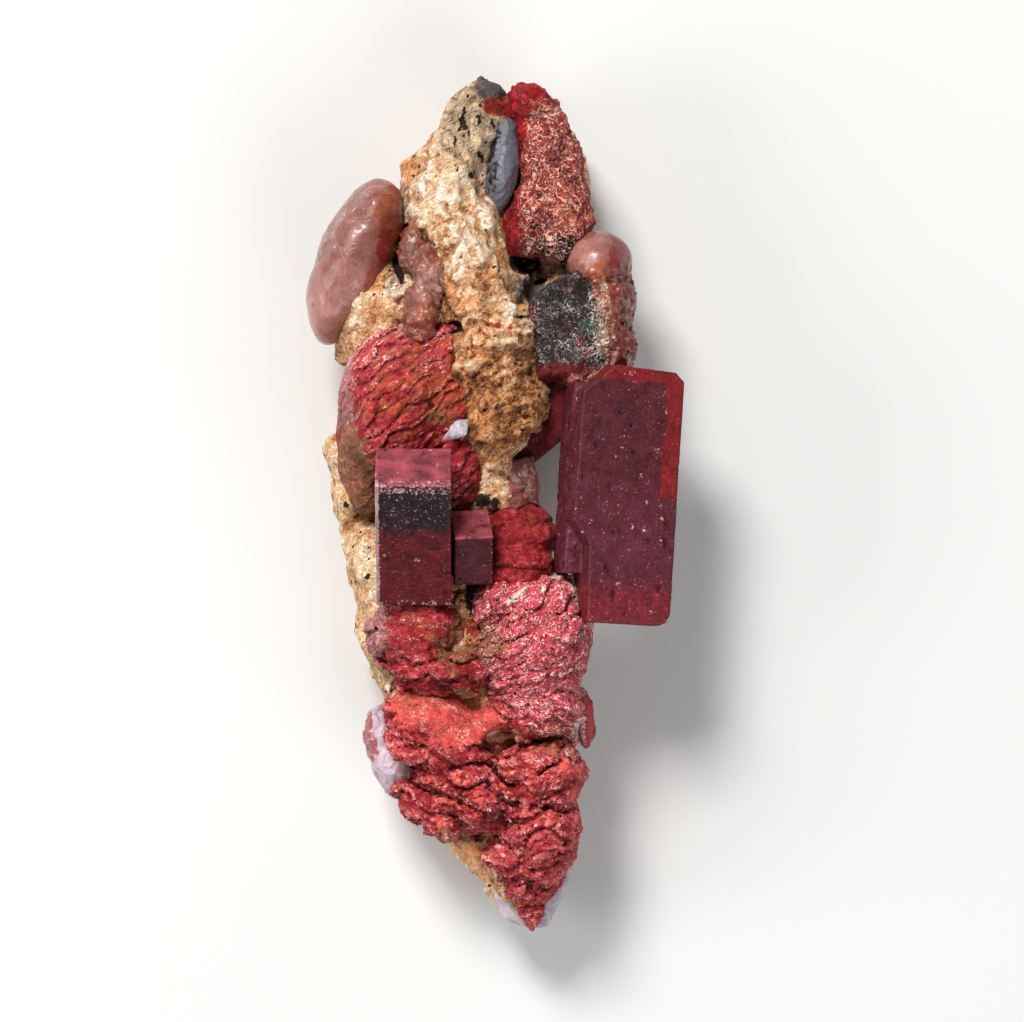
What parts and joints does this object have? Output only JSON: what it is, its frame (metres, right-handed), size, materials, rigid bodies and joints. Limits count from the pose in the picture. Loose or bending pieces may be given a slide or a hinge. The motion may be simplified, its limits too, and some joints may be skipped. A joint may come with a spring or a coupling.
{
  "type": "apophyllite on matrix",
  "caption": "Long mineral specimen: dark red apophyllite tablet and prisms with scaly red sheaves on a cream rock spine, lying on its flat broken back.",
  "frame": {"origin": "middle of the bottom of the specimen's box, on the plane of its flat broken back", "axes": "+Z out of the crystal side, +Y towards the upper end with the horn, +X to the right as the crystals are looked at"},
  "size_m": [0.0374, 0.0852, 0.0275],
  "materials": {
    "cream": "dull, granular, with small pits and dark specks",
    "quartz": "glassy, translucent blue-grey",
    "crust": "red under a net of white crust",
    "druse": "dark, rough with fine glittering crystals",
    "pale": "glossy, milky pink",
    "stilbite": "silky red ledges with pale grains",
    "apophyllite": "flat, satin, dark red with small spots",
    "clear": "glassy, milky white"
  },
  "bodies": {
    "root": {"apophyllite_prism": "apophyllite", "apophyllite_small_prism": "apophyllite", "apophyllite_tablet": "apophyllite", "clear_flake": "clear", "pale_lobe": "pale", "crusted_blade": "crust", "drusy_block": "druse", "right_knobs": "pale", "quartz_lens": "quartz", "buds": "pale", "upper_sheaf": "stilbite", "right_sheaf": "stilbite", "left_sheaf": "stilbite", "middle_sheaf": "stilbite", "rosette": "stilbite", "broad_shelf": "stilbite", "lower_right_sheaf": "stilbite", "lower_shelf": "stilbite", "foot_sheaf": "stilbite", "foot_wedge": "stilbite", "foot_clear_left": "clear", "foot_clear_right": "clear", "lower_left_crystal": "clear", "right_sliver": "apophyllite", "dark_strut": "apophyllite", "pale_wedge": "pale", "matrix": "cream"}
  },
  "joints": []
}
